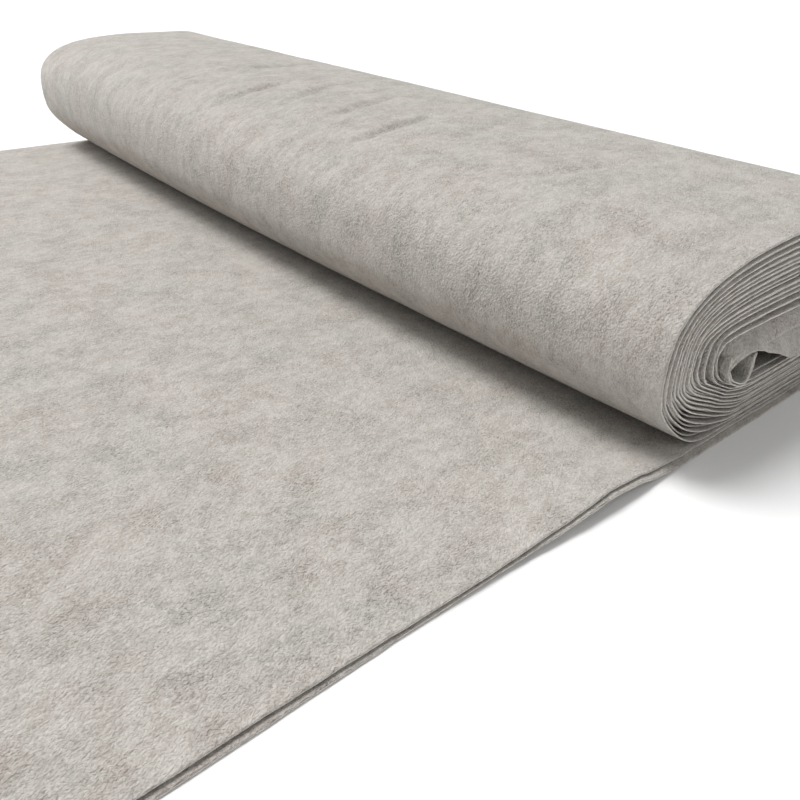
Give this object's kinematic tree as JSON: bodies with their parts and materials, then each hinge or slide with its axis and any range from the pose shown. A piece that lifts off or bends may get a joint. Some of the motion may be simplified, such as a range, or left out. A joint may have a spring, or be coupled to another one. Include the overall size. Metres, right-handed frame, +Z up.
{
  "type": "roll of felt",
  "caption": "Doubled felt wound flat without a core, with its loose end lying in front of the roll.",
  "frame": {"origin": "on the surface that the part rests on, at the middle of its box in X and Y", "axes": "+X along the roll towards the end where the cloth's cut edges show, +Y from the loose end towards the roll's back, +Z up"},
  "size_m": [0.907, 0.6, 0.1275],
  "materials": {
    "wound_felt": "matt felt, warm grey mottled with darker and paler fibres",
    "loose_felt": "matt felt, warm grey mottled with darker and paler fibres"
  },
  "bodies": {
    "root": {"wound_roll": "wound_felt", "loose_end": "loose_felt"}
  },
  "joints": []
}
